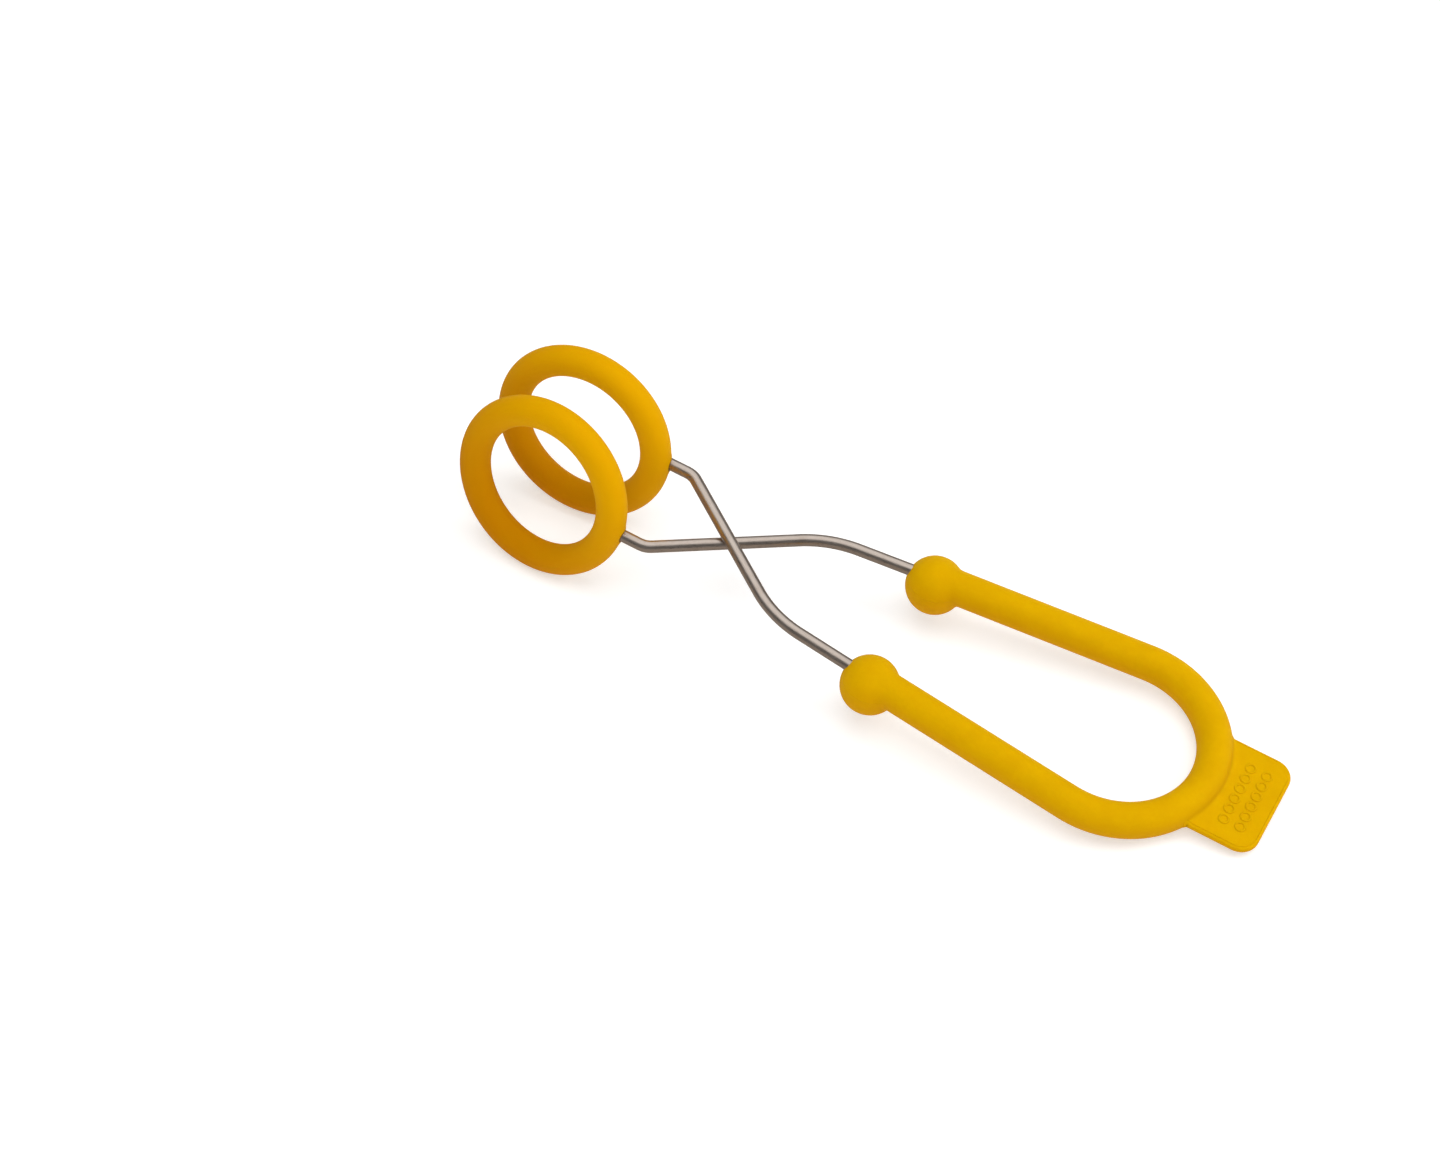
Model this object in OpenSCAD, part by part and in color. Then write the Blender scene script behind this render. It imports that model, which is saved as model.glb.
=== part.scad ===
// Reverse-action egg tongs: squeezing the two rounded grips spreads the two rings,
// because the spring wires cross between the grips and the rings.
// Millimetres, +Z up. The object lies at rest on the plane z = 0, touching it with the
// undersides of both rings and of the handle bow. The origin is on that plane, midway
// along the length and on the centre line between the two arms. +X runs from the rings
// to the tab at the end of the handle.
//
// The shape is drawn in the flat "wire plane" with x = 0 at the rings, then tilted as a
// whole into its resting pose. The over arm passes above the under arm at the crossing.

/* [Rings] */
// Radius of each ring, to the middle of its round section
ring_r = 19.75; // [17:0.05:22]
// Radius of the round section of the silicone ring
ring_tube_r = 3.8; // [3:0.05:4.5]
// Distance from the centre line to the middle of each ring
ring_half_gap = 9.75; // [8:0.05:12]
// Sideways lean of the under arm's ring, top towards +Y, in degrees
under_ring_lean = 17; // [0:0.5:25]
// Sideways lean of the over arm's ring, top towards +Y, in degrees
over_ring_lean = 13; // [0:0.5:25]
// Turn of the under arm's ring about the vertical, front end towards the centre line, in degrees
under_ring_turn = 5.5; // [0:0.5:8]

/* [Wire] */
// Radius of the spring wire
wire_r = 1.5; // [1.2:0.05:1.8]
// Space left between the two wires where they cross
crossing_gap = 0.1; // [0.05:0.05:1]
// Distance of each wire from the centre line where it leaves its ring
exit_y = 11.4; // [10:0.1:13]
// Distance from the ring centre to the tight bend
bend_1_x = 29.6; // [27:0.1:34]
// Radius of the tight bend, to the middle of the wire
bend_1_r = 5; // [3:0.1:8]
// Distance from the ring centre to the wide bend
bend_2_x = 65.9; // [60:0.1:72]
// Distance of the wide bend's corner from the centre line
bend_2_y = 14.8; // [11:0.1:17]
// Radius of the wide bend, to the middle of the wire
bend_2_r = 27; // [15:0.5:40]

/* [Handle] */
// Distance from the ring centre to the ball at the front of each grip
ball_x = 93.4; // [88:0.1:100]
// Distance of each ball from the centre line
ball_y = 16.9; // [14:0.1:19]
// Radius of each ball
ball_r = 7.15; // [6.8:0.05:8]
// How far the ball's centre sits below the leg's axis
ball_drop = 2.35; // [2:0.05:2.8]
// Radius of the round section of the legs and the bow
leg_r = 4.25; // [3.8:0.05:4.5]
// Distance from the ring centre to the middle of the bow's arc
bow_x = 149.3; // [140:0.1:160]
// Radius of the bow's arc, to the middle of its round section
bow_r = 22.7; // [20:0.1:25]

/* [End tab] */
// Half the width of the tab
tab_half_w = 13.75; // [10:0.25:15]
// Distance from the ring centre to the end of the tab
tab_end_x = 188.9; // [184:0.1:194]
// Thickness of the tab
tab_t = 1.8; // [1.4:0.1:3]
// Corner radius of the tab
tab_corner_r = 4.7; // [2:0.1:6]
// Height of the raised pattern on the tab
mark_h = 0.3; // [0.2:0.05:0.5]

/* [Hidden] */
$fn = 96;

silicone = [0.86, 0.66, 0.04];
steel = [0.62, 0.60, 0.57];

mould_gap = 0.02;       // between the wire and the silicone moulded round it
entry_gap = 0.12;       // round the wire where it enters a ball
leg_gap = 0.25;         // round the wire inside a leg
entry_run_on = 0.5;     // how far the ball's channel runs on into the leg's
flex_gap = 0.1;         // between a leg's round end and its seat in the bow
wire_end_inset = 8;     // from the flexing point back to the end of the wire in a leg
spring_inset_angle = 18; // between the flexing point and the end of the bow's wire
bend_3_r = 60;          // of the slight bend inside the ball
collar_rise = 0.05;     // how far a collar stands off the wire
collar_len = 1;
tab_root_x = bow_x + bow_r - leg_r / 2; // the tab starts inside the bow's section
mark_count = 6;         // raised rings in a row
mark_rows = 2;
mark_r = 1.35;          // outer radius of one raised ring
mark_line = 0.45;       // width of its raised line
mark_pitch = 3.15;      // spacing along a row
mark_row_pitch = 4.1;   // spacing between the rows
mark_sink = 0.2;        // how deep the raised pattern is rooted in the tab
mark_x = 181.6;         // middle of the pattern, from the ring centre

// The wires run in two parallel planes between the rings and the wide bends.
wire_lift = wire_r + crossing_gap / 2;
// Where the bow's arc touches the straight leg.
ball_to_bow = norm([bow_x - ball_x, ball_y]);
leg_angle = asin(bow_r / ball_to_bow) - atan2(ball_y, bow_x - ball_x);
leg_len = sqrt(ball_to_bow * ball_to_bow - bow_r * bow_r);
flex_x = ball_x + leg_len * cos(leg_angle);
flex_y = ball_y + leg_len * sin(leg_angle);

// Resting pose: the tilt that puts ring undersides and bow underside on one plane.
apex_x = bow_x + bow_r;
function ring_drop(tilt, lean, turn) =
    ring_r * norm([sin(tilt) * cos(turn),
                   cos(tilt) * cos(lean) - sin(tilt) * sin(turn) * sin(lean)])
    + ring_tube_r;
function over_ring_drop(tilt) = ring_drop(tilt, over_ring_lean, 0);
first_tilt = asin((over_ring_drop(0) - leg_r) / apex_x);
rest_tilt = asin((over_ring_drop(first_tilt) - leg_r) / apex_x);
rest_lift = over_ring_drop(rest_tilt);
// How much lower the under arm's ring sits, so that both rings touch the plane.
under_ring_sag = (rest_lift - ring_drop(rest_tilt, under_ring_lean, under_ring_turn))
    / cos(rest_tilt);
min_x = -ring_r * norm([cos(rest_tilt), sin(rest_tilt) * cos(over_ring_lean)]) - ring_tube_r;
max_x = tab_end_x * cos(rest_tilt) + (tab_t / 2) * sin(rest_tilt);
rest_shift = -(min_x + max_x) / 2;

function unit(v) = v / norm(v);
// Angles for rotate() that turn X, Y, Z into three given perpendicular unit vectors.
function turn_to(x_dir, y_dir, z_dir) =
    [atan2(y_dir.z, z_dir.z), -asin(x_dir.z), atan2(x_dir.y, x_dir.x)];

// Moves a shape from the wire plane into the resting pose.
module resting() {
    translate([rest_shift, 0, rest_lift])
        rotate([0, rest_tilt, 0])
            children();
}

// The over arm's wire is the under arm's, turned half a turn about the long axis, and its
// ring is drawn the same way round. The two grips are mirror images instead, because both
// balls hang below the legs.
module over_side() {
    rotate([180, 0, 0])
        children();
}

// Stands a shape drawn along +Z on the line between two points.
module along(from, to) {
    run = to - from;
    translate(from)
        rotate([0, acos(run.z / norm(run)), atan2(run.y, run.x)])
            children();
}

module rod(from, to, r) {
    along(from, to)
        cylinder(h = norm(to - from), r = r);
}

// How far before a corner its bend begins.
function setback(a, b, c, bend_r) =
    bend_r * tan(acos(unit(b - a) * unit(c - b)) / 2);

// A bend of radius bend_r that joins the straight from a to b to the straight from b to c.
module bend(a, b, c, bend_r, r) {
    d_in = unit(b - a);
    d_out = unit(c - b);
    plane_normal = unit(cross(d_in, d_out));
    inward = cross(plane_normal, d_in);
    translate(b - setback(a, b, c, bend_r) * d_in + bend_r * inward)
        rotate(turn_to(-inward, d_in, plane_normal))
            rotate_extrude(angle = acos(d_in * d_out))
                translate([bend_r, 0])
                    circle(r = r);
}

// Corner points of the under arm's wire, from inside its ring to inside its leg, and the
// radius of the bend at each inner corner.
ball_entry = [ball_x, ball_y, 0];
flex_point = [flex_x, flex_y, 0];
leg_dir = unit(flex_point - ball_entry);
run_points = [
    [ring_r, -exit_y, -wire_lift],
    [bend_1_x, -exit_y, -wire_lift],
    [bend_2_x, bend_2_y, -wire_lift],
    ball_entry,
    flex_point - wire_end_inset * leg_dir
];
run_bends = [bend_1_r, bend_2_r, bend_3_r];
run_last = len(run_points) - 1;

function run_dir(i) = unit(run_points[i + 1] - run_points[i]);
function corner_setback(i) =
    (i == 0 || i == run_last) ? 0
    : setback(run_points[i - 1], run_points[i], run_points[i + 1], run_bends[i - 1]);
function straight_start(i) = run_points[i] + corner_setback(i) * run_dir(i);
function straight_end(i) = run_points[i + 1] - corner_setback(i + 1) * run_dir(i);

// A thin short sleeve over the joint between a straight and a bend.
module collar(joint, dir, r) {
    rod(joint - collar_len / 2 * dir, joint + collar_len / 2 * dir, r + collar_rise);
}

// The straights and bends of one arm's wire, at section radius r.
module arm_run(r) {
    for (i = [0 : run_last - 1])
        rod(straight_start(i), straight_end(i), r);
    for (i = [1 : run_last - 1]) {
        bend(run_points[i - 1], run_points[i], run_points[i + 1], run_bends[i - 1], r);
        collar(straight_end(i - 1), run_dir(i - 1), r);
        collar(straight_start(i), run_dir(i), r);
    }
}

// A hoop round the ring's middle line, its seams turned away from the wire's exit.
module hoop(r) {
    rotate([0, 0, 180])
        rotate_extrude()
            translate([ring_r, 0])
                rotate(180)
                    circle(r = r);
}

module under_hoop(r) {
    translate([0, -ring_half_gap, -under_ring_sag])
        rotate([0, 0, -under_ring_turn])
            rotate([90 - under_ring_lean, 0, 0])
                hoop(r);
}

module over_hoop(r) {
    translate([0, -ring_half_gap, 0])
        rotate([90 - over_ring_lean, 0, 0])
            hoop(r);
}

// Ball and leg in one, on the side where y has the given sign; the leg's round end turns
// in its seat in the bow.
module grip_body(side) {
    ball_end = [ball_x, side * ball_y, 0];
    bow_end = [flex_x, side * flex_y, 0];
    translate(ball_end - [0, 0, ball_drop])
        rotate([0, 0, side * 90])
            sphere(r = ball_r);
    along(ball_end, bow_end)
        rotate_extrude()
            intersection() {
                union() {
                    square([leg_r, leg_len]);
                    translate([0, leg_len])
                        circle(r = leg_r);
                }
                square([leg_r, leg_len + leg_r]);
            }
}

// The way for the under arm's wire through its ball and along its leg.
module grip_channel() {
    rod(run_points[2], ball_entry + entry_run_on * run_dir(2), wire_r + entry_gap);
    rod(ball_entry, run_points[run_last], wire_r + leg_gap);
}

// The bow's arc between two angles measured from +X, at section radius r.
module bow_arc(from, to, r) {
    translate([bow_x, 0, 0])
        rotate([0, 0, from])
            rotate_extrude(angle = to - from)
                translate([bow_r, 0])
                    circle(r = r);
}

module tab_plate() {
    inner_x = tab_end_x - tab_corner_r;
    inner_y = tab_half_w - tab_corner_r;
    translate([0, 0, -tab_t / 2]) {
        translate([tab_root_x, -tab_half_w, 0])
            cube([inner_x - tab_root_x, 2 * tab_half_w, tab_t]);
        translate([inner_x, -inner_y, 0])
            cube([tab_corner_r, 2 * inner_y, tab_t]);
        for (side = [-1, 1])
            translate([inner_x, side * inner_y, 0])
                cylinder(h = tab_t, r = tab_corner_r);
    }
}

// Two rows of raised rings across the tab.
module tab_mark() {
    for (row = [0 : mark_rows - 1], i = [0 : mark_count - 1])
        translate([mark_x + (row - (mark_rows - 1) / 2) * mark_row_pitch,
                   (i - (mark_count - 1) / 2) * mark_pitch,
                   tab_t / 2 - mark_sink])
            difference() {
                cylinder(h = mark_h + mark_sink, r = mark_r);
                translate([0, 0, -mark_sink])
                    cylinder(h = mark_h + 3 * mark_sink, r = mark_r - mark_line);
            }
}

bow_start = 90 + leg_angle;

module under_wire() {
    color(steel)
        resting() {
            under_hoop(wire_r);
            arm_run(wire_r);
        }
}

module over_wire() {
    color(steel)
        resting()
            over_side() {
                over_hoop(wire_r);
                arm_run(wire_r);
            }
}

module under_ring() {
    color(silicone)
        resting()
            difference() {
                under_hoop(ring_tube_r);
                under_hoop(wire_r + mould_gap);
                arm_run(wire_r + mould_gap);
            }
}

module over_ring() {
    color(silicone)
        resting()
            over_side()
                difference() {
                    over_hoop(ring_tube_r);
                    over_hoop(wire_r + mould_gap);
                    arm_run(wire_r + mould_gap);
                }
}

module under_grip() {
    color(silicone)
        resting()
            difference() {
                grip_body(1);
                grip_channel();
            }
}

module over_grip() {
    color(silicone)
        resting()
            difference() {
                grip_body(-1);
                over_side()
                    grip_channel();
            }
}

module handle_bow() {
    color(silicone)
        resting() {
            difference() {
                union() {
                    bow_arc(-bow_start, bow_start, leg_r);
                    tab_plate();
                }
                for (side = [-1, 1])
                    translate([flex_x, side * flex_y, 0])
                        sphere(r = leg_r + flex_gap);
                bow_arc(-bow_start + spring_inset_angle, bow_start - spring_inset_angle,
                        wire_r + mould_gap);
            }
            tab_mark();
        }
}

module bow_spring() {
    color(steel)
        resting()
            bow_arc(-bow_start + spring_inset_angle, bow_start - spring_inset_angle, wire_r);
}

under_wire();
over_wire();
under_ring();
over_ring();
under_grip();
over_grip();
handle_bow();
bow_spring();
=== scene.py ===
"""Looks of the reverse-action egg tongs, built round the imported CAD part.

Shapes are drawn like the part's: millimetres in the flat "wire plane", with x = 0 at the rings
and +X towards the end tab, then laid down in the resting pose, in metres.
"""

import math

import bpy
import numpy as np
from mathutils import Matrix, Vector


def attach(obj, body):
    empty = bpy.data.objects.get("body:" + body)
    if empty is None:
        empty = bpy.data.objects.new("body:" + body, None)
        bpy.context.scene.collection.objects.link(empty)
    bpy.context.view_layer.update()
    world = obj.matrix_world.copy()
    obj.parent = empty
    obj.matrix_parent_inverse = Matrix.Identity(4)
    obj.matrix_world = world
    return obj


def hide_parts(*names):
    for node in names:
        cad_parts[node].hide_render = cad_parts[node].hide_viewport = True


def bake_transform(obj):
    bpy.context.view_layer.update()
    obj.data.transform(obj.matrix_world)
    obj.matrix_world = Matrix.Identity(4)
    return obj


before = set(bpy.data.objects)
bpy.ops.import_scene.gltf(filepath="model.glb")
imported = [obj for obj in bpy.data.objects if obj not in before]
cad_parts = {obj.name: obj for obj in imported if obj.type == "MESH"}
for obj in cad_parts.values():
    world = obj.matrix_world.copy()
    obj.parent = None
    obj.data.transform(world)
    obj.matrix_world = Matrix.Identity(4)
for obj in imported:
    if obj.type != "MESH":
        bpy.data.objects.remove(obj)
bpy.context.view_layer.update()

MM = 0.001

# Driving dimensions, the same as the part's, in millimetres and degrees.
RING_R = 19.75
RING_TUBE_R = 3.8
RING_HALF_GAP = 9.75
UNDER_RING_LEAN = math.radians(17.0)
OVER_RING_LEAN = math.radians(13.0)
UNDER_RING_TURN = math.radians(5.5)
WIRE_R = 1.5
WIRE_LIFT = 1.55
EXIT_Y = 11.4
BEND_1_X = 29.6
BEND_1_R = 5.0
BEND_2_X = 65.9
BEND_2_Y = 14.8
BEND_2_R = 27.0
BEND_3_R = 60.0
BALL_X = 93.4
BALL_Y = 16.9
BALL_R = 7.15
BALL_DROP = 2.35
LEG_R = 4.25
BOW_X = 149.3
BOW_R = 22.7
TAB_HALF_W = 13.75
TAB_END_X = 188.9
TAB_T = 1.8
TAB_CORNER_R = 4.7

# Where the bow's arc touches the straight leg.
BALL_TO_BOW = math.hypot(BOW_X - BALL_X, BALL_Y)
LEG_ANGLE = math.asin(BOW_R / BALL_TO_BOW) - math.atan2(BALL_Y, BOW_X - BALL_X)
LEG_LEN = math.sqrt(BALL_TO_BOW**2 - BOW_R**2)
LEG_DIR = np.array([math.cos(LEG_ANGLE), math.sin(LEG_ANGLE), 0.0])
BALL_ENTRY = np.array([BALL_X, BALL_Y, 0.0])
BALL_CENTRE = BALL_ENTRY - np.array([0.0, 0.0, BALL_DROP])
BOW_START = math.pi / 2 + LEG_ANGLE

# The grips' skins end this far round the bow, where the bow's own skin takes over.
SEAM_TURN = math.radians(38.0)

UP = np.array([0.0, 0.0, 1.0])
TAU = 2 * math.pi

# Multiplied with points: the underside of the tab, and the two sides of the handle.
UNDERSIDE = np.array([1.0, 1.0, -1.0])
SAME_SIDE = np.array([1.0, 1.0, 1.0])
OTHER_SIDE = np.array([1.0, -1.0, 1.0])


# --- Resting pose ---------------------------------------------------------------------

def ring_drop(tilt, lean, turn):
    """How far a ring reaches below its centre when the whole object is tilted."""
    along = math.sin(tilt) * math.cos(turn)
    down = math.cos(tilt) * math.cos(lean) - math.sin(tilt) * math.sin(turn) * math.sin(lean)
    return RING_R * math.hypot(along, down) + RING_TUBE_R


def resting_pose():
    """Tilt, height and shift that put ring and bow undersides on one plane."""
    apex_x = BOW_X + BOW_R
    tilt = 0.0
    # The drop depends on the tilt in turn; two passes, as in the part, bring them together.
    for _ in range(2):
        tilt = math.asin((ring_drop(tilt, OVER_RING_LEAN, 0.0) - LEG_R) / apex_x)
    low_reach = math.hypot(math.cos(tilt), math.sin(tilt) * math.cos(OVER_RING_LEAN))
    min_x = -RING_R * low_reach - RING_TUBE_R
    max_x = TAB_END_X * math.cos(tilt) + TAB_T / 2 * math.sin(tilt)
    return tilt, ring_drop(tilt, OVER_RING_LEAN, 0.0), -(min_x + max_x) / 2


REST_TILT, REST_LIFT, REST_SHIFT = resting_pose()

# How much lower the under arm's ring sits, so that both rings touch the floor.
UNDER_RING_SAG = (REST_LIFT - ring_drop(REST_TILT, UNDER_RING_LEAN, UNDER_RING_TURN)
                  ) / math.cos(REST_TILT)


def at_rest(points):
    """Wire-plane millimetres to row-frame metres."""
    p = np.atleast_2d(np.asarray(points, float))
    c = math.cos(REST_TILT)
    s = math.sin(REST_TILT)
    x = REST_SHIFT + c * p[:, 0] + s * p[:, 2]
    z = REST_LIFT - s * p[:, 0] + c * p[:, 2]
    return np.column_stack((x, p[:, 1], z)) * MM


# --- Mesh building --------------------------------------------------------------------

def unit(v):
    return v / np.linalg.norm(v)


def grid_faces(rows, cols, around=True, closed=False, flip=False, first=0):
    """Quads between consecutive rows of a grid whose points are numbered from first.

    around joins the last column to the first one, and closed the last row to the first one.
    """
    quads = []
    for i in range(rows if closed else rows - 1):
        here = i * cols
        ahead = (i + 1) % rows * cols
        for j in range(cols if around else cols - 1):
            k = (j + 1) % cols
            quad = (here + j, here + k, ahead + k, ahead + j)
            quads.append(tuple(first + q for q in (quad[::-1] if flip else quad)))
    return quads


def add_piece(name, points, faces, material, node_name=None, uv=None):
    """A smooth mesh from wire-plane points, which it also keeps as the attribute "mould"."""
    mesh = bpy.data.meshes.new(name)
    mesh.from_pydata(at_rest(points).tolist(), [], faces)
    mesh.polygons.foreach_set("use_smooth", [True] * len(mesh.polygons))
    mould = mesh.attributes.new("mould", "FLOAT_VECTOR", "POINT")
    mould.data.foreach_set("vector", np.asarray(points, np.float32).ravel())
    if uv is not None:
        layer = mesh.uv_layers.new(name="along")
        corners = np.zeros(len(mesh.loops), np.int32)
        mesh.loops.foreach_get("vertex_index", corners)
        layer.data.foreach_set("uv", np.asarray(uv, np.float32)[corners].ravel())
    mesh.materials.append(material)
    mesh.update()
    obj = bpy.data.objects.new(name, mesh)
    bpy.context.scene.collection.objects.link(obj)
    if node_name:
        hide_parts(node_name)
    return obj


def tube(centres, radius, sides):
    """Points of a round section swept along centres."""
    angles = np.arange(sides) * TAU / sides
    rows = []
    for centre, tangent in zip(centres, np.gradient(centres, axis=0)):
        across = unit(np.cross(UP, tangent))
        over = unit(np.cross(tangent, across))
        rows.append(centre + radius * (np.outer(np.cos(angles), across)
                                       + np.outer(np.sin(angles), over)))
    return np.concatenate(rows)


def cap(points, faces, row_start, cols, flip=False):
    """Closes one end of a tube with a fan, added to faces, round a middle point."""
    middle = points[row_start:row_start + cols].mean(axis=0)
    points = np.vstack((points, middle))
    hub = len(points) - 1
    for j in range(cols):
        a = row_start + j
        b = row_start + (j + 1) % cols
        faces.append((a, b, hub) if flip else (b, a, hub))
    return points


# --- Shader nodes ---------------------------------------------------------------------

def new_material(name):
    material = bpy.data.materials.new(name)
    material.use_nodes = True
    tree = material.node_tree
    tree.nodes.clear()
    output = tree.nodes.new("ShaderNodeOutputMaterial")
    shader = tree.nodes.new("ShaderNodeBsdfPrincipled")
    tree.links.new(shader.outputs["BSDF"], output.inputs["Surface"])
    return material, tree, shader


def node(tree, kind, **values):
    """A shader node with its properties (lower case) and inputs (capitalised) set."""
    made = tree.nodes.new(kind)
    for key, value in values.items():
        if key[0].islower():
            setattr(made, key, value)
        else:
            made.inputs[key.replace("_", " ")].default_value = value
    return made


def noise(tree, vector, scale, detail, roughness):
    made = node(tree, "ShaderNodeTexNoise", Scale=scale, Detail=detail, Roughness=roughness)
    tree.links.new(vector, made.inputs["Vector"])
    return made.outputs["Fac"]


def ramp(tree, value, low, high, to_low=0.0, to_high=1.0):
    """Maps low..high to to_low..to_high and holds the ends."""
    made = node(tree, "ShaderNodeMapRange",
                From_Min=low, From_Max=high, To_Min=to_low, To_Max=to_high)
    tree.links.new(value, made.inputs["Value"])
    return made.outputs["Result"]


def mix_colour(tree, factor, a, b):
    """Colour a where factor is 0 and b where it is 1; each is a tuple or a node's output."""
    made = node(tree, "ShaderNodeMix", data_type="RGBA")
    colours = [socket for socket in made.inputs if socket.type == "RGBA"]
    tree.links.new(factor, made.inputs["Factor"])
    for socket, value in zip(colours, (a, b)):
        if isinstance(value, tuple):
            socket.default_value = (*value, 1.0)
        else:
            tree.links.new(value, socket)
    return next(out for out in made.outputs if out.type == "RGBA")


def combine(tree, operation, *values):
    """A math node over numbers or node outputs."""
    made = node(tree, "ShaderNodeMath", operation=operation)
    for socket, value in zip(made.inputs, values):
        if isinstance(value, (int, float)):
            socket.default_value = value
        else:
            tree.links.new(value, socket)
    return made.outputs[0]


def times(tree, a, b):
    return combine(tree, "MULTIPLY", a, b)


def plus(tree, a, b):
    return combine(tree, "ADD", a, b)


def separate(tree, vector):
    """The X, Y and Z of a vector."""
    made = node(tree, "ShaderNodeSeparateXYZ")
    tree.links.new(vector, made.inputs[0])
    return made.outputs


def ray_kind(tree, name):
    """1 for rays of the named kind, such as "Is Glossy Ray", and 0 for others."""
    return node(tree, "ShaderNodeLightPath").outputs[name]


def add_relief(tree, shader, height_mm):
    """Bumps the surface by a height in millimetres."""
    bump = node(tree, "ShaderNodeBump", Strength=1.0, Distance=MM)
    tree.links.new(height_mm, bump.inputs["Height"])
    tree.links.new(bump.outputs["Normal"], shader.inputs["Normal"])


# --- Silicone -------------------------------------------------------------------------

# Linear colours. The rings carry painted light and shade: lighter at the top, deeper and
# oranger at the foot.
CLOUDY_YELLOWS = (0.695, 0.378, 0.0), (0.740, 0.415, 0.0)
SPECK_YELLOW = (0.680, 0.360, 0.0)
# Painted shade: the deeper, warmer yellow of silicone that faces down.
DOWN_FACING_SHADE_YELLOW = (0.640, 0.285, 0.0)
# Painted light and shade on the rings, from the lit top to the shaded foot.
RING_LIT_YELLOW = (0.765, 0.368, 0.0)
RING_SHADE_ORANGE = (0.525, 0.170, 0.0)
RING_SHADE_SHARE = 0.8
# The rings' painted light and shade change along a slanting line, from its lit value to its
# shaded value.
SHADE_SLANT_X = 0.4
SHADE_SLANT_Z = 0.9
RING_LIT_LEVEL = 16.0
RING_SHADE_LEVEL = -18.0
# Painted shade, dark as a gap, round each wire where it leaves its ring.
WIRE_ROOT_SHADE = (0.16, 0.07, 0.01)
# The yellow as other surfaces see it: paler, so that it doesn't tint the floor.
BOUNCED_YELLOW = (0.62, 0.45, 0.28)

# The rings' skin lies wholly below the first x and the handle's wholly above the second.
RINGS_END_X = 25.0
HANDLE_START_X = 45.0

# The painted shade round the wires starts just outside the wire, and lies only on the half of
# the ring that faces the handle.
WIRE_SHADE_CLEARANCE = 0.1
WIRE_SHADE_W = 0.45
WIRE_SHADE_FADE_X = RING_R - 1.75, RING_R + 0.25

# The mould line runs between these two x and fades out over the given lengths.
LINE_START_X = BALL_X - 9.0
LINE_START_FADE = 1.0
LINE_END_X = BALL_X + 8.0
LINE_END_FADE = 3.0
LINE_HALF_W = 0.24
LINE_H = 0.07
SKIN_H = 0.014
SILICONE_ROUGHNESS = 0.50, 0.60


def mottle_and_down_shade(tree, place, specks):
    """Clouds and specks of slightly different yellows, with a painted shade, deeper and warmer,
    where the surface faces down.
    """
    clouds = noise(tree, place, scale=0.16, detail=4.0, roughness=0.6)
    cloudy = mix_colour(tree, ramp(tree, clouds, 0.32, 0.68), *CLOUDY_YELLOWS)
    speckled = mix_colour(tree, ramp(tree, specks, 0.35, 0.7, 0.0, 0.35), cloudy, SPECK_YELLOW)
    # Painted shade: surfaces facing down get the deeper, warmer yellow.
    facing = separate(tree, node(tree, "ShaderNodeNewGeometry").outputs["Normal"])
    return mix_colour(tree, ramp(tree, facing["Z"], -0.6, 0.8), DOWN_FACING_SHADE_YELLOW, speckled)


def ring_light_and_shade(tree, at):
    """Painted light and shade on the rings: lighter at the top and towards the handle, deeper
    and oranger low down and away from it.
    """
    slant = plus(tree, times(tree, at["X"], SHADE_SLANT_X), times(tree, at["Z"], SHADE_SLANT_Z))
    return mix_colour(tree, ramp(tree, slant, RING_LIT_LEVEL, RING_SHADE_LEVEL),
                      RING_LIT_YELLOW, RING_SHADE_ORANGE)


def shade_round_wire(tree, at):
    """1 in the painted shade round each wire where it leaves its ring, 0 elsewhere."""
    # The over arm's wire leaves at +Y and +Z, the under arm's at -Y and -Z.
    arm_side = combine(tree, "SIGN", at["Y"])
    off_y = combine(tree, "SUBTRACT", times(tree, at["Y"], arm_side), EXIT_Y)
    off_z = combine(tree, "SUBTRACT", times(tree, at["Z"], arm_side), WIRE_LIFT)
    off_axis = combine(tree, "SQRT", plus(tree, times(tree, off_y, off_y),
                                          times(tree, off_z, off_z)))
    handle_side = ramp(tree, at["X"], *WIRE_SHADE_FADE_X)
    shade_start = WIRE_R + WIRE_SHADE_CLEARANCE
    near_axis = ramp(tree, off_axis, shade_start, shade_start + WIRE_SHADE_W, 1.0, 0.0)
    return times(tree, handle_side, near_axis)


def mould_line(tree, at):
    """1 on the line that the mould leaves round the balls, 0 elsewhere."""
    off_line = combine(tree, "ABSOLUTE", at["Z"])
    on_line = ramp(tree, off_line, 0.0, LINE_HALF_W, 1.0, 0.0)
    past_front = ramp(tree, at["X"], LINE_START_X, LINE_START_X + LINE_START_FADE)
    before_leg = ramp(tree, at["X"], LINE_END_X - LINE_END_FADE, LINE_END_X, 1.0, 0.0)
    return times(tree, on_line, times(tree, past_front, before_leg))


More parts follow.
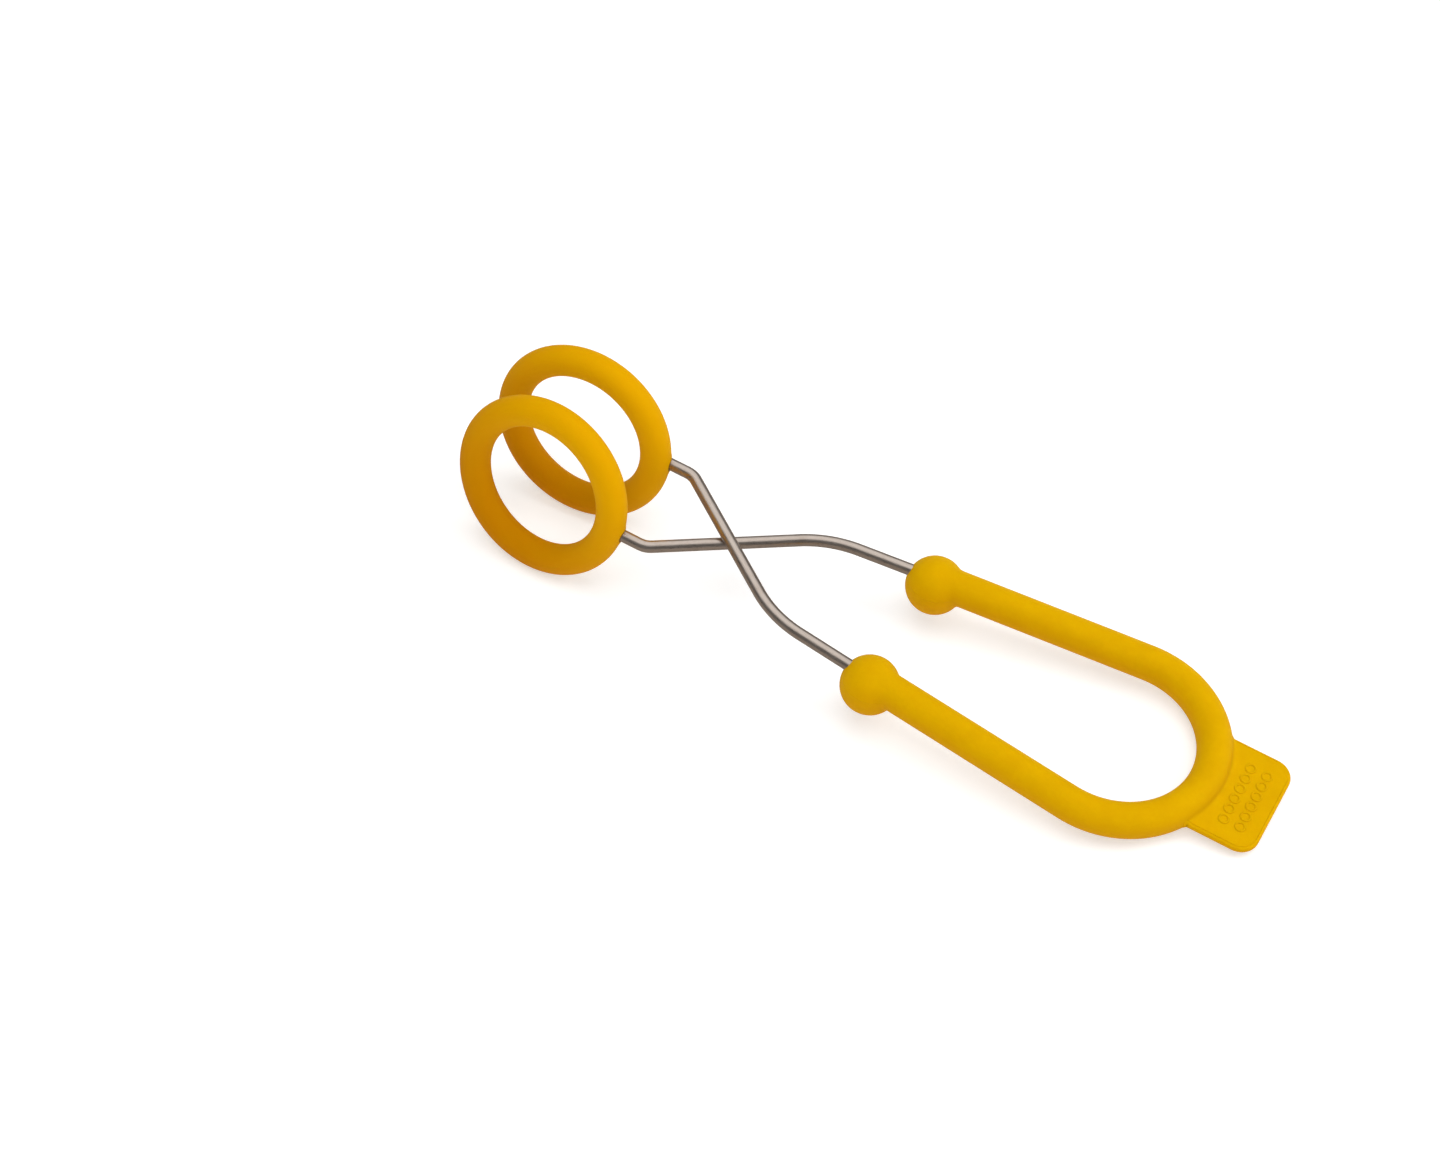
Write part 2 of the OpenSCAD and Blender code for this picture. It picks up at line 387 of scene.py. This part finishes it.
def silicone_material():
    """Matte moulded silicone, textured in the mould's own coordinates."""
    material, tree, shader = new_material("yellow_silicone")
    place = node(tree, "ShaderNodeAttribute", attribute_name="mould").outputs["Vector"]
    at = separate(tree, place)
    specks = noise(tree, place, scale=1.1, detail=3.0, roughness=0.55)
    on_rings = ramp(tree, at["X"], RINGS_END_X, HANDLE_START_X, 1.0, 0.0)
    # Painted light and shade on the rings: lighter at the top, deeper and oranger at the foot.
    shaded_rings = mix_colour(tree, times(tree, on_rings, RING_SHADE_SHARE),
                       mottle_and_down_shade(tree, place, specks), ring_light_and_shade(tree, at))
    # Painted shade round each wire where it leaves its ring.
    wire_root_shaded = mix_colour(tree, times(tree, on_rings, shade_round_wire(tree, at)), shaded_rings, WIRE_ROOT_SHADE)
    colour = mix_colour(tree, ray_kind(tree, "Is Diffuse Ray"), wire_root_shaded, BOUNCED_YELLOW)
    tree.links.new(colour, shader.inputs["Base Color"])
    tree.links.new(ramp(tree, specks, 0.3, 0.7, *SILICONE_ROUGHNESS),
                   shader.inputs["Roughness"])
    shader.inputs["Specular IOR Level"].default_value = 0.02
    shader.inputs["Subsurface Weight"].default_value = 0.12
    shader.inputs["Subsurface Radius"].default_value = (1.0, 0.45, 0.05)
    shader.inputs["Subsurface Scale"].default_value = 1.5 * MM
    skin = noise(tree, place, scale=3.2, detail=2.0, roughness=0.5)
    add_relief(tree, shader, plus(tree, times(tree, skin, SKIN_H),
                                  times(tree, mould_line(tree, at), LINE_H)))
    return material


# --- Steel and paper ------------------------------------------------------------------

STEEL_TONES = (0.44, 0.385, 0.345), (0.57, 0.51, 0.465)
STAIN_BROWN = (0.38, 0.31, 0.255)
STREAK_H = 0.02
STEEL_SPECK_H = 0.01
STEEL_ROUGHNESS = 0.24, 0.36
PAPER_WHITES = (0.82, 0.82, 0.82), (0.84, 0.84, 0.84)
PAPER_IN_STEEL = (0.40, 0.345, 0.30)
PAPER_GLOW = 0.35


def steel_material():
    """Drawn stainless wire: satin, with fine streaks along it and faint brown staining."""
    material, tree, shader = new_material("spring_steel")
    stretch = node(tree, "ShaderNodeMapping", Scale=(0.12, 6.0, 1.0))
    tree.links.new(node(tree, "ShaderNodeUVMap", uv_map="along").outputs["UV"],
                   stretch.inputs["Vector"])
    streaks = noise(tree, stretch.outputs["Vector"], scale=3.0, detail=4.0, roughness=0.6)
    place = node(tree, "ShaderNodeTexCoord").outputs["Object"]
    stains = noise(tree, place, scale=260.0, detail=3.0, roughness=0.6)
    specks = noise(tree, place, scale=2200.0, detail=2.0, roughness=0.5)
    streaky = mix_colour(tree, ramp(tree, streaks, 0.3, 0.7), *STEEL_TONES)
    stained = mix_colour(tree, ramp(tree, stains, 0.5, 0.75, 0.0, 0.4), streaky, STAIN_BROWN)
    tree.links.new(stained, shader.inputs["Base Color"])
    tree.links.new(ramp(tree, streaks, 0.25, 0.75, *STEEL_ROUGHNESS),
                   shader.inputs["Roughness"])
    shader.inputs["Metallic"].default_value = 1.0
    add_relief(tree, shader, plus(tree, times(tree, streaks, STREAK_H),
                                  times(tree, specks, STEEL_SPECK_H)))
    return material


def floor_material():
    """White paper with the faintest tooth and a little glow of its own, to stay white.

    In the steel's reflections it is darker and has no glow, so that the wires keep their
    contrast.
    """
    material, tree, shader = new_material("white_paper")
    place = node(tree, "ShaderNodeTexCoord").outputs["Object"]
    tooth = noise(tree, place, scale=900.0, detail=3.0, roughness=0.6)
    paper = mix_colour(tree, ramp(tree, tooth, 0.3, 0.7), *PAPER_WHITES)
    in_steel = ray_kind(tree, "Is Glossy Ray")
    tree.links.new(mix_colour(tree, in_steel, paper, PAPER_IN_STEEL),
                   shader.inputs["Base Color"])
    tree.links.new(ramp(tree, in_steel, 0.0, 1.0, PAPER_GLOW, 0.0),
                   shader.inputs["Emission Strength"])
    shader.inputs["Emission Color"].default_value = (1.0, 1.0, 1.0, 1.0)
    shader.inputs["Roughness"].default_value = 0.9
    shader.inputs["Specular IOR Level"].default_value = 0.1
    return material


SILICONE = silicone_material()
STEEL = steel_material()


# --- Arm wires ------------------------------------------------------------------------

WIRE_SIDES = 32
WIRE_STEP = 0.4
# How far the wire runs on inside the leg, out of sight.
WIRE_IN_LEG = 18.0


def bent_path(corners, bend_radii, step):
    """Points along straights joined by bends."""
    points = []
    here = corners[0]
    for i, r in enumerate(bend_radii, start=1):
        d_in = unit(corners[i] - corners[i - 1])
        d_out = unit(corners[i + 1] - corners[i])
        turn = math.acos(float(d_in @ d_out))
        back = r * math.tan(turn / 2)
        start = corners[i] - back * d_in
        count = max(2, int(np.linalg.norm(start - here) / step))
        for k in range(count):
            points.append(here + (start - here) * k / count)
        inward = np.cross(unit(np.cross(d_in, d_out)), d_in)
        middle = start + r * inward
        count = max(4, int(r * turn / step))
        for k in range(count):
            a = turn * k / count
            points.append(middle - r * math.cos(a) * inward + r * math.sin(a) * d_in)
        here = corners[i] + back * d_out
    count = max(2, int(np.linalg.norm(corners[-1] - here) / step))
    for k in range(count + 1):
        points.append(here + (corners[-1] - here) * k / count)
    return np.array(points)


def over_side(points):
    """The over arm's wire and ring are the under arm's, turned half a turn about +X."""
    return points * np.array([1.0, -1.0, -1.0])


def arm_wire(name, node_name, body, turn_over):
    """One arm's wire, from inside its ring, across the other arm's and into the far leg."""
    corners = [
        np.array([RING_R, -EXIT_Y, -WIRE_LIFT]),
        np.array([BEND_1_X, -EXIT_Y, -WIRE_LIFT]),
        np.array([BEND_2_X, BEND_2_Y, -WIRE_LIFT]),
        BALL_ENTRY,
        BALL_ENTRY + WIRE_IN_LEG * LEG_DIR,
    ]
    centres = bent_path(corners, [BEND_1_R, BEND_2_R, BEND_3_R], WIRE_STEP)
    points = tube(centres, WIRE_R, WIRE_SIDES)
    faces = grid_faces(len(centres), WIRE_SIDES)
    length = np.repeat(np.arange(len(centres)) * WIRE_STEP, WIRE_SIDES)
    turn = np.tile(np.arange(WIRE_SIDES) / WIRE_SIDES, len(centres))
    # The streak pattern runs once up and down round the wire, so that it has no seam.
    uv = np.column_stack((length, np.abs(2 * turn - 1)))
    last_row = (len(centres) - 1) * WIRE_SIDES
    points = cap(points, faces, 0, WIRE_SIDES)
    points = cap(points, faces, last_row, WIRE_SIDES, flip=True)
    uv = np.vstack((uv, uv[0], uv[last_row]))
    if turn_over:
        points = over_side(points)
    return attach(add_piece(name, points, faces, STEEL, node_name, uv), body)


arm_wire("under_arm_wire", "under_wire", "under_arm", False)
arm_wire("over_arm_wire", "over_wire", "over_arm", True)


# --- Rings ----------------------------------------------------------------------------

RING_STEPS = 192
RING_SIDES = 56
# The silicone swells by this much right at the wire, and falls off over about the reach.
LIP_RISE = 0.22
LIP_REACH = 1.1


def ring_skin(name, node_name, body, lean, turned, sag, turn_over):
    """A round silicone ring with a slight lip where the wire leaves it."""
    exit_at = np.array([RING_R + RING_TUBE_R, -EXIT_Y, -WIRE_LIFT])
    turn = np.arange(RING_STEPS) * TAU / RING_STEPS
    section = np.arange(RING_SIDES) * TAU / RING_SIDES
    u, v = (g.ravel() for g in np.meshgrid(turn, section, indexing="ij"))
    level = np.array([math.cos(turned), -math.sin(turned), 0.0])
    upright = np.array([math.sin(turned) * math.sin(lean),
                        math.cos(turned) * math.sin(lean), math.cos(lean)])
    outward = np.outer(np.cos(u), level) + np.outer(np.sin(u), upright)
    normal = outward * np.cos(v)[:, None] + np.outer(np.sin(v), np.cross(upright, level))
    centre = np.array([0.0, -RING_HALF_GAP, -sag]) + RING_R * outward
    points = centre + RING_TUBE_R * normal
    off_wire = np.hypot(points[:, 1] - exit_at[1], points[:, 2] - exit_at[2])
    lip = np.exp(-(np.maximum(off_wire - WIRE_R, 0) / LIP_REACH) ** 2)
    lip *= (points[:, 0] > RING_R)
    points += normal * (LIP_RISE * lip)[:, None]
    faces = grid_faces(RING_STEPS, RING_SIDES, closed=True, flip=True)
    if turn_over:
        points = over_side(points)
    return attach(add_piece(name, points, faces, SILICONE, node_name), body)


ring_skin("under_ring_skin", "under_ring", "under_arm",
          UNDER_RING_LEAN, UNDER_RING_TURN, UNDER_RING_SAG, False)
ring_skin("over_ring_skin", "over_ring", "over_arm", OVER_RING_LEAN, 0.0, 0.0, True)


# --- Handle: grips and bow ------------------------------------------------------------

LEG_SIDES = 64
BALL_ROWS = 26
# The neck's rows are cast over this length of leg, over the fillet between ball and leg.
NECK_ROWS = 40
NECK_LEN = 16.0
NECK_FILLET = 0.9
RAY_STEPS = 40
LEG_STEP = 1.5
ARC_STEP = math.radians(2.5)
# A narrow row on each side of the seam keeps the shading of the two skins alike there.
SEAM_STEP = math.radians(0.15)


def smooth_union(a, b, k):
    """Distance to two shapes together, with a fillet of about radius k between them."""
    h = np.clip(0.5 + 0.5 * (b - a) / k, 0, 1)
    return b + (a - b) * h - k * h * (1 - h)


def grip_distance(p):
    """Distance from points to the skin of the +Y grip's ball and leg."""
    to_ball = np.linalg.norm(p - BALL_CENTRE, axis=-1) - BALL_R
    local = p - BALL_ENTRY
    ahead = local @ LEG_DIR
    side = np.linalg.norm(local - ahead[..., None] * LEG_DIR, axis=-1)
    to_leg = np.hypot(np.maximum(-ahead, 0), side) - LEG_R
    return smooth_union(to_ball, to_leg, NECK_FILLET)


def cast(origins, directions):
    """Where rays from inside the grip leave its skin."""
    inside = np.zeros(len(origins))
    outside = np.full(len(origins), 3 * BALL_R)
    for _ in range(RAY_STEPS):
        middle = (inside + outside) / 2
        hit = grip_distance(origins + middle[:, None] * directions) > 0
        outside = np.where(hit, middle, outside)
        inside = np.where(hit, inside, middle)
    return origins + inside[:, None] * directions


def bow_centres(turns):
    """Points on the middle line of the bow, by turn from +X."""
    return np.column_stack((BOW_X + BOW_R * np.cos(turns), BOW_R * np.sin(turns),
                            np.zeros(len(turns))))


def bow_tube(turns):
    """Points of the bow's round section; the first side faces the inside of the bow."""
    angles = np.arange(LEG_SIDES) * TAU / LEG_SIDES
    outward = np.column_stack((np.cos(turns), np.sin(turns), np.zeros(len(turns))))
    rows = [c + LEG_R * (np.outer(-np.cos(angles), o) + np.outer(np.sin(angles), UP))
            for c, o in zip(bow_centres(turns), outward)]
    return np.concatenate(rows)


def ball_rows(round_leg):
    """Sections of the ball, from its front to its middle."""
    rows = []
    for i in range(1, BALL_ROWS + 1):
        a = math.pi / 2 * i / BALL_ROWS
        directions = -math.cos(a) * LEG_DIR + math.sin(a) * round_leg
        rows.append(cast(np.tile(BALL_CENTRE, (LEG_SIDES, 1)), directions))
    return rows


def neck_rows(round_leg):
    """Sections past the ball's middle; their own middles rise onto the leg's axis."""
    rows = []
    for i in range(1, NECK_ROWS + 1):
        share = i / NECK_ROWS
        risen = min(1.0, 2 * share)
        rise = risen ** 2 * (3 - 2 * risen)
        origin = BALL_CENTRE + share * NECK_LEN * LEG_DIR + rise * BALL_DROP * UP
        rows.append(cast(np.tile(origin, (LEG_SIDES, 1)), round_leg))
    return rows


def leg_rows(round_leg):
    """Sections of the straight leg, as far as the bow."""
    steps = int((LEG_LEN - NECK_LEN) / LEG_STEP)
    rows = []
    for i in range(1, steps + 1):
        ahead = NECK_LEN + (LEG_LEN - NECK_LEN) * i / steps
        rows.append(BALL_ENTRY + ahead * LEG_DIR + LEG_R * round_leg)
    return rows


def grip_skin(name, node_name, mirror):
    """Ball, leg and the start of the bow in one skin."""
    across = np.cross(UP, LEG_DIR)
    angles = np.arange(LEG_SIDES) * TAU / LEG_SIDES
    round_leg = np.outer(-np.cos(angles), across) + np.outer(np.sin(angles), UP)
    rows = ball_rows(round_leg) + neck_rows(round_leg) + leg_rows(round_leg)
    seam = BOW_START - SEAM_TURN
    arc = np.arange(BOW_START - ARC_STEP, seam + SEAM_STEP, -ARC_STEP)
    arc = np.append(arc, [seam + SEAM_STEP, seam])
    points = np.vstack(rows + [bow_tube(arc)])
    faces = grid_faces(len(points) // LEG_SIDES, LEG_SIDES, flip=True)
    front = cast(BALL_CENTRE[None], -LEG_DIR[None])
    faces += [(j, (j + 1) % LEG_SIDES, len(points)) for j in range(LEG_SIDES)]
    points = np.vstack((points, front))
    if mirror[1] < 0:
        faces = [f[::-1] for f in faces]
    skin = add_piece(name, points * mirror, faces, SILICONE, node_name)
    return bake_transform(skin)


def bow_skin():
    """The bow between the two grips' skins."""
    last = BOW_START - SEAM_TURN
    inner = np.arange(-last + ARC_STEP, last - ARC_STEP / 2, ARC_STEP)
    turns = np.concatenate(([-last, -last + SEAM_STEP], inner, [last - SEAM_STEP, last]))
    points = bow_tube(turns)
    faces = grid_faces(len(turns), LEG_SIDES)
    skin = add_piece("bow_skin", points, faces, SILICONE, "handle_bow")
    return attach(skin, "handle")


grip_skin("under_grip_skin", "under_grip", SAME_SIDE)
grip_skin("over_grip_skin", "over_grip", OTHER_SIDE)
bow_skin()


# --- End tab --------------------------------------------------------------------------

# The root is the flare between the bow and the flat plate. Its first row lies ROOT_DEPTH
# inside the bow's outside, and ROOT_SINK below the bow's skin.
ROOT_FILLET = 1.1
ROOT_SINK = 0.25
ROOT_DEPTH = 2.2
ROOT_END_X = 178.0
SIDE_FILLET = 0.4
RIM_R = 0.8

TAB_COLS = 72
ROOT_ROWS = 26
ROOT_PASSES = 3
PLATE_ROWS = 22
CORNER_ROWS = 14
RIM_STEPS = 7

MARK_COUNT = 6
MARK_ROWS = 2
MARK_R = 1.12
MARK_LINE_R = 0.27
MARK_PITCH = 3.15
MARK_ROW_PITCH = 4.1
MARK_X = 181.6
MARK_SINK = 0.03
MARK_STEPS = 36
MARK_SIDES = 12


def tab_height(x, y):
    """Half thickness of the tab, flaring into the bow's round section at its root."""
    out = np.hypot(x - BOW_X, y)
    flat = TAB_T / 2
    reach = math.sqrt((LEG_R + ROOT_FILLET)**2 - (flat + ROOT_FILLET)**2)
    fillet_end = BOW_R + reach
    touch = BOW_R + reach * LEG_R / (LEG_R + ROOT_FILLET)
    into = np.clip(fillet_end - out, 0, fillet_end - touch)
    flared = flat + ROOT_FILLET - np.sqrt(ROOT_FILLET**2 - into**2)
    on_bow = np.sqrt(np.maximum(LEG_R**2 - (out - BOW_R)**2, 0))
    # The sinking comes in over the first millimetre, so that the root leaves no step.
    sunk = on_bow - ROOT_SINK * np.clip(touch - out, 0, 1)
    return np.where(out < touch, sunk, flared)


def tab_top_half(x):
    """Half width of the tab's flat top at each x: the outline moved in by the rim."""
    notch_x = BOW_X + math.sqrt((BOW_R + LEG_R + SIDE_FILLET)**2
                                - (TAB_HALF_W + SIDE_FILLET)**2)
    into = np.clip(notch_x - x, 0, SIDE_FILLET)
    flare = SIDE_FILLET - np.sqrt(SIDE_FILLET**2 - into**2)
    inner_r = TAB_CORNER_R - RIM_R
    past = np.clip(x - (TAB_END_X - TAB_CORNER_R), 0, inner_r)
    corner = inner_r - np.sqrt(inner_r**2 - past**2)
    return TAB_HALF_W - RIM_R + flare - corner


def tab_top():
    """A grid over the tab's top: rows across it, from inside the bow to the end edge."""
    corner_x = TAB_END_X - TAB_CORNER_R
    sweep = np.linspace(0, math.pi / 2, CORNER_ROWS + 1)[1:]
    plate_x = np.concatenate((np.linspace(ROOT_END_X, corner_x, PLATE_ROWS),
                              corner_x + (TAB_CORNER_R - RIM_R) * np.sin(sweep)))
    shares = np.sin(np.linspace(-math.pi / 2, math.pi / 2, TAB_COLS))
    rows = []
    for i in range(ROOT_ROWS):
        y = TAB_HALF_W * shares
        # x follows from y, and y from x, so a few passes settle both. The rows start round,
        # like the bow, and straighten out towards the plate.
        for _ in range(ROOT_PASSES):
            in_bow = BOW_X + np.sqrt((BOW_R + LEG_R - ROOT_DEPTH)**2 - y**2)
            x = in_bow + (ROOT_END_X - in_bow) * i / ROOT_ROWS
            y = tab_top_half(x) * shares
        rows.append(np.column_stack((x, y, tab_height(x, y))))
    for row_x in plate_x:
        x = np.full(TAB_COLS, row_x)
        y = tab_top_half(x) * shares
        rows.append(np.column_stack((x, y, tab_height(x, y))))
    return np.array(rows)


def tab_rim(edge):
    """Rows of points from the top's edge, round the soft side, to the underside's edge."""
    run = np.gradient(edge[:, :2], axis=0)
    outward = np.column_stack((run[:, 1], -run[:, 0]))
    outward /= np.linalg.norm(outward, axis=1)[:, None]
    upper = []
    for i in range(1, RIM_STEPS + 1):
        a = math.pi / 2 * i / RIM_STEPS
        row = edge.copy()
        row[:, :2] += outward * RIM_R * math.sin(a)
        row[:, 2] = tab_height(row[:, 0], row[:, 1]) - RIM_R * (1 - math.cos(a))
        upper.append(row)
    return upper + [row * UNDERSIDE for row in upper[::-1]]


def end_tab():
    """The flat tab: a rounded plate with soft edges, flared where it leaves the bow."""
    grid = tab_top()
    top = grid.reshape(-1, 3)
    numbers = np.arange(len(top)).reshape(len(grid), TAB_COLS)
    # The edge runs down one side, along the end and back up the other side.
    edge = np.concatenate((numbers[:, 0], numbers[-1, 1:], numbers[-2::-1, -1]))
    rim = tab_rim(top[edge])
    faces = grid_faces(len(grid), TAB_COLS, around=False)
    faces += grid_faces(len(grid), TAB_COLS, around=False, flip=True, first=len(top))
    rows = [edge]
    rows += [(2 * len(top) + i * len(edge)) + np.arange(len(edge)) for i in range(len(rim))]
    rows.append(len(top) + edge)
    for upper, lower in zip(rows, rows[1:]):
        for k in range(len(edge) - 1):
            faces.append((int(upper[k]), int(lower[k]), int(lower[k + 1]), int(upper[k + 1])))
    points = np.vstack([top, top * UNDERSIDE] + rim)
    skin = add_piece("end_tab", points, faces, SILICONE, "handle_bow")
    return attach(skin, "handle")


def tab_pattern():
    """Rows of raised rings on top of the tab."""
    turns = np.arange(MARK_STEPS) * TAU / MARK_STEPS
    section = np.arange(MARK_SIDES) * TAU / MARK_SIDES
    u, v = (g.ravel() for g in np.meshgrid(turns, section, indexing="ij"))
    out = MARK_R + MARK_LINE_R * np.cos(v)
    ring = np.column_stack((out * np.cos(u), out * np.sin(u), MARK_LINE_R * np.sin(v)))
    points = []
    faces = []
    for row in range(MARK_ROWS):
        for i in range(MARK_COUNT):
            middle = np.array([MARK_X + (row - (MARK_ROWS - 1) / 2) * MARK_ROW_PITCH,
                               (i - (MARK_COUNT - 1) / 2) * MARK_PITCH,
                               TAB_T / 2 - MARK_SINK])
            faces += grid_faces(MARK_STEPS, MARK_SIDES, closed=True, flip=True,
                                first=len(points) * len(ring))
            points.append(ring + middle)
    skin = add_piece("tab_pattern", np.vstack(points), faces, SILICONE)
    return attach(skin, "handle")


end_tab()
tab_pattern()

# The spring inside the bow is the only CAD piece that stays; no skin replaces it.
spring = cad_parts["bow_spring"]
spring.data.materials.clear()
spring.data.materials.append(STEEL)


# --- Stage, light and camera ----------------------------------------------------------

FLOOR_HALF = 3.0

# The strengths were matched to the brightness of the photo's paper, silicone and steel.
ROOM_COLOUR = (1.0, 0.99, 0.98, 1.0)
ROOM_STRENGTH = 0.40
BACKDROP_STRENGTH = 1.0
STEEL_SEES_COLOUR = (1.0, 0.97, 0.94, 1.0)
STEEL_SEES_DARK = 0.17
STEEL_SEES_BRIGHT = 1.25
# Middle of the bright patch that the steel reflects: overhead, a little to the back.
BRIGHT_PART = Vector((-0.15, 0.26, 0.95)).normalized()
# Cosines of the angles from that middle where the patch has faded out and where it is full.
BRIGHT_FADE = 0.60, 0.86

CAMERA_AZIMUTH = math.radians(119.82)
CAMERA_DROP = math.radians(51.37)
CAMERA_ROLL = math.radians(0.967)
CAMERA_DISTANCE = 0.7367
CAMERA_TARGET = Vector((-0.03987, 0.00139, 0.0))
CAMERA_LENS = 75.42


def stage_floor():
    h = FLOOR_HALF
    mesh = bpy.data.meshes.new("floor")
    mesh.from_pydata([(-h, -h, 0), (h, -h, 0), (h, h, 0), (-h, h, 0)], [], [(0, 1, 2, 3)])
    mesh.materials.append(floor_material())
    floor = bpy.data.objects.new("floor", mesh)
    bpy.context.scene.collection.objects.link(floor)


def add_area(name, location, size, power):
    """A soft square light aimed at the middle of the floor and left out of reflections."""
    data = bpy.data.lights.new(name, "AREA")
    data.shape = "SQUARE"
    data.size = size
    data.energy = power
    light = bpy.data.objects.new(name, data)
    light.visible_glossy = False
    light.location = location
    light.rotation_euler = (-Vector(location)).to_track_quat("-Z", "Y").to_euler()
    bpy.context.scene.collection.objects.link(light)


def studio_world():
    """A pale room, white behind the floor and with one bright patch in reflections."""
    world = bpy.data.worlds.new("studio")
    world.use_nodes = True
    tree = world.node_tree
    tree.nodes.clear()
    room = node(tree, "ShaderNodeBackground", Color=ROOM_COLOUR)
    tree.links.new(ramp(tree, ray_kind(tree, "Is Camera Ray"), 0.0, 1.0,
                        ROOM_STRENGTH, BACKDROP_STRENGTH),
                   room.inputs["Strength"])
    reflected = node(tree, "ShaderNodeBackground", Color=STEEL_SEES_COLOUR)
    nearness = node(tree, "ShaderNodeVectorMath", operation="DOT_PRODUCT")
    nearness.inputs[1].default_value = BRIGHT_PART
    tree.links.new(node(tree, "ShaderNodeTexCoord").outputs["Generated"], nearness.inputs[0])
    tree.links.new(ramp(tree, nearness.outputs["Value"], *BRIGHT_FADE,
                        STEEL_SEES_DARK, STEEL_SEES_BRIGHT),
                   reflected.inputs["Strength"])
    mix = node(tree, "ShaderNodeMixShader")
    for socket, value in zip(mix.inputs, (ray_kind(tree, "Is Glossy Ray"),
                                          room.outputs[0], reflected.outputs[0])):
        tree.links.new(value, socket)
    tree.links.new(mix.outputs[0], node(tree, "ShaderNodeOutputWorld").inputs["Surface"])
    bpy.context.scene.world = world


def studio_camera():
    """Looks down at the tongs from the front, across the handle."""
    level = Vector((math.cos(CAMERA_AZIMUTH), math.sin(CAMERA_AZIMUTH), 0.0))
    ahead = math.cos(CAMERA_DROP) * level - math.sin(CAMERA_DROP) * Vector((0, 0, 1))
    right = ahead.cross(Vector((0, 0, 1))).normalized()
    up = right.cross(ahead)
    rolled_right = right * math.cos(CAMERA_ROLL) - up * math.sin(CAMERA_ROLL)
    rolled_up = right * math.sin(CAMERA_ROLL) + up * math.cos(CAMERA_ROLL)
    place = Matrix((rolled_right, rolled_up, -ahead)).transposed().to_4x4()
    place.translation = CAMERA_TARGET - ahead * CAMERA_DISTANCE
    data = bpy.data.cameras.new("camera")
    data.lens = CAMERA_LENS
    data.clip_start = 0.01
    camera = bpy.data.objects.new("camera", data)
    camera.matrix_world = place
    bpy.context.scene.collection.objects.link(camera)
    bpy.context.scene.camera = camera


stage_floor()
studio_world()
add_area("overhead", (0.0, 0.0, 1.3), 1.2, 9.0)
add_area("window", (0.65, 0.42, 0.52), 0.6, 2.7)
add_area("front_fill", (0.45, -0.75, 0.65), 0.7, 1.4)
studio_camera()
bpy.context.scene.view_settings.view_transform = "Standard"
